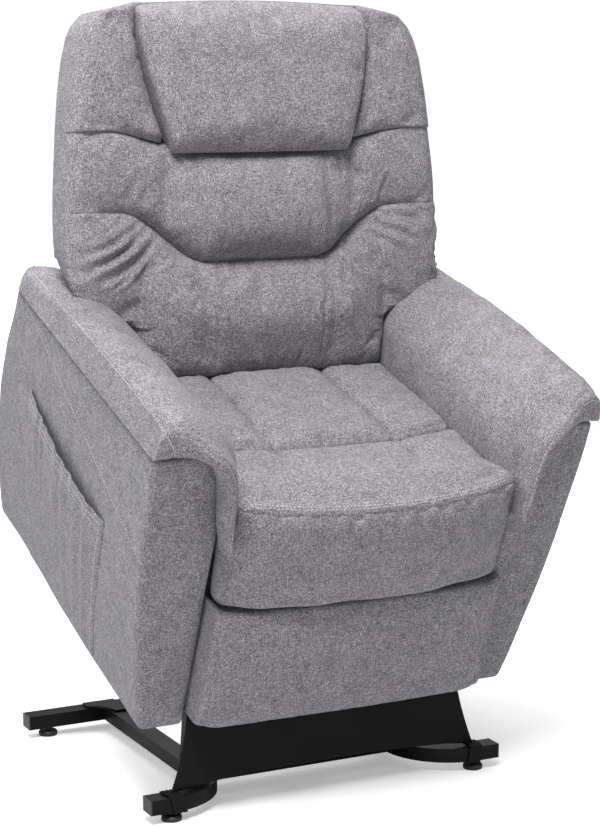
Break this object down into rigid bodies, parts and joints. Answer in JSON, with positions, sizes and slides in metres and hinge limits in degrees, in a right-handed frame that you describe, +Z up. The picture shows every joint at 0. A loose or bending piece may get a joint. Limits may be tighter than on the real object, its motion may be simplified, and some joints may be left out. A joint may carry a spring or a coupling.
{
  "type": "lift recliner chair",
  "caption": "Upholstered power lift recliner, shown raised: padded back with headrest pillow, arms with pocket, footrest, steel lift base and black skirt.",
  "frame": {"origin": "on the floor, under the middle of the box of the chair as it stands raised", "axes": "+Z up, the sitter faces -Y, the sitter's left is +X"},
  "size_m": [0.84, 0.9476, 1.3965],
  "materials": {
    "upholstery": "matte",
    "skirt_cloth": "matte",
    "base_paint": "satin",
    "bright_steel": "satin",
    "black_plastic": "matte",
    "board_wood": "matte"
  },
  "bodies": {
    "base": {"base_rail_left": "base_paint", "base_rail_right": "base_paint", "base_corner_gusset_left": "base_paint", "base_corner_gusset_right": "base_paint", "base_pivot_bracket_left": "base_paint", "base_pivot_bracket_right": "base_paint", "end_cap_front_left": "black_plastic", "end_cap_front_right": "black_plastic", "end_cap_rear_left": "black_plastic", "end_cap_rear_right": "black_plastic", "base_rear_crossbar": "base_paint", "base_actuator_crossbar": "base_paint", "front_skirt": "skirt_cloth"},
    "levelling_foot_front_left": {"levelling_foot_front_left": "black_plastic"},
    "levelling_foot_front_right": {"levelling_foot_front_right": "black_plastic"},
    "levelling_foot_rear_left": {"levelling_foot_rear_left": "black_plastic"},
    "levelling_foot_rear_right": {"levelling_foot_rear_right": "black_plastic"},
    "rear_lift_links": {"rear_lift_link_left": "base_paint", "rear_lift_link_right": "base_paint", "rear_link_cross_tube": "base_paint"},
    "front_lift_links": {"front_lift_link_left": "base_paint", "front_lift_link_right": "base_paint"},
    "lift_actuator_housing": {"lift_actuator_housing": "black_plastic"},
    "lift_actuator_rod": {"lift_actuator_rod": "bright_steel"},
    "chair_frame": {"chassis_plate_left": "base_paint", "chassis_plate_right": "base_paint", "seat_rail_left": "base_paint", "seat_rail_right": "base_paint", "arm_body_left": "upholstery", "arm_body_right": "upholstery", "arm_pad_left": "upholstery", "arm_pad_right": "upholstery", "chassis_front_tube": "base_paint", "chassis_rear_tube": "base_paint", "seat_front_rail": "base_paint", "seat_rear_rail": "base_paint", "seat_springs": "bright_steel", "seat_cushion": "upholstery", "control_box": "black_plastic", "storage_pocket": "upholstery", "cord_grommet": "black_plastic", "skirt_bar": "base_paint"},
    "footrest_upper_links": {"footrest_upper_link_left": "base_paint", "footrest_upper_link_right": "base_paint", "footrest_cross_tube": "base_paint"},
    "footrest_lower_links": {"footrest_lower_link_left": "base_paint", "footrest_lower_link_right": "base_paint"},
    "footrest_panel": {"footrest_board": "board_wood", "footrest_pad": "upholstery"},
    "back": {"back_upright_left": "base_paint", "back_upright_right": "base_paint", "back_lower_tube": "base_paint", "back_upper_tube": "base_paint", "back_shell": "upholstery", "lumbar_cushion": "upholstery", "middle_cushion": "upholstery", "upper_cushion": "upholstery", "headrest_pillow": "upholstery"},
    "recline_actuator_housing": {"recline_actuator_housing": "black_plastic"},
    "recline_actuator_rod": {"recline_actuator_rod": "bright_steel"}
  },
  "joints": [
    {"name": "lift", "type": "hinge", "parent": "base", "child": "rear_lift_links", "pos_m": [0, -0.052, 0.1565], "axis": [-1, 0, 0], "range_deg": [0, 41.2], "deforming": ["front_skirt"]},
    {"name": "front_lift_link_pivot", "type": "hinge", "parent": "base", "child": "front_lift_links", "pos_m": [0, -0.132, 0.1493], "axis": [-1, 0, 0], "range_deg": [-0.1, 50.2]},
    {"name": "chair_frame_pivot", "type": "hinge", "parent": "rear_lift_links", "child": "chair_frame", "pos_m": [0, 0.30134, 0.40674], "axis": [-1, 0, 0], "range_deg": [-22.42, 0.04]},
    {"name": "lift_actuator_pivot", "type": "hinge", "parent": "base", "child": "lift_actuator_housing", "pos_m": [0, -0.082, 0.11], "axis": [-1, 0, 0], "range_deg": [-0.07, 36.6]},
    {"name": "lift_actuator_stroke", "type": "slide", "parent": "lift_actuator_housing", "child": "lift_actuator_rod", "axis": [0, 0.4203, 0.9074], "range_m": [-0.0942, 0.0002]},
    {"name": "footrest", "type": "hinge", "parent": "chair_frame", "child": "footrest_upper_links", "pos_m": [0, -0.21775, 0.39177], "axis": [-1, 0, 0], "range_deg": [0, 113.45]},
    {"name": "footrest_elbow", "type": "hinge", "parent": "footrest_upper_links", "child": "footrest_lower_links", "pos_m": [0, -0.11386, 0.24477], "axis": [1, 0, 0], "range_deg": [-0.31, 154.42]},
    {"name": "footrest_panel_pivot", "type": "hinge", "parent": "footrest_lower_links", "child": "footrest_panel", "pos_m": [0, -0.23599, 0.3621], "axis": [-1, 0, 0], "range_deg": [-0.25, 125.91]},
    {"name": "recline", "type": "hinge", "parent": "chair_frame", "child": "back", "pos_m": [0, 0.14264, 0.55787], "axis": [-1, 0, 0], "range_deg": [0, 38]},
    {"name": "recline_actuator_pivot", "type": "hinge", "parent": "chair_frame", "child": "recline_actuator_housing", "pos_m": [0.105, -0.08523, 0.39144], "axis": [-1, 0, 0], "range_deg": [-3.55, 0.01]},
    {"name": "recline_actuator_stroke", "type": "slide", "parent": "recline_actuator_housing", "child": "recline_actuator_rod", "axis": [0, 0.9288, 0.3707], "range_m": [-0.043, 0.0001]},
    {"name": "levelling_foot_front_left_thread", "type": "slide", "parent": "base", "child": "levelling_foot_front_left", "axis": [0, 0, -1], "range_m": [-0.005, 0]},
    {"name": "levelling_foot_front_right_thread", "type": "slide", "parent": "base", "child": "levelling_foot_front_right", "axis": [0, 0, -1], "range_m": [-0.005, 0]},
    {"name": "levelling_foot_rear_left_thread", "type": "slide", "parent": "base", "child": "levelling_foot_rear_left", "axis": [0, 0, -1], "range_m": [-0.005, 0]},
    {"name": "levelling_foot_rear_right_thread", "type": "slide", "parent": "base", "child": "levelling_foot_rear_right", "axis": [0, 0, -1], "range_m": [-0.005, 0]}
  ],
  "couplings": [
    {"joint": "front_lift_link_pivot", "follows": "lift", "ratio": 1.2161},
    {"joint": "chair_frame_pivot", "follows": "lift", "ratio": -0.54316},
    {"joint": "lift_actuator_pivot", "follows": "lift", "ratio": 0.88664},
    {"joint": "lift_actuator_stroke", "follows": "lift", "m_per_rad": -0.1308},
    {"joint": "footrest_elbow", "follows": "footrest", "ratio": 1.3584},
    {"joint": "footrest_panel_pivot", "follows": "footrest", "ratio": 1.1076},
    {"joint": "recline_actuator_pivot", "follows": "recline", "ratio": -0.09318},
    {"joint": "recline_actuator_stroke", "follows": "recline", "m_per_rad": -0.064713}
  ]
}
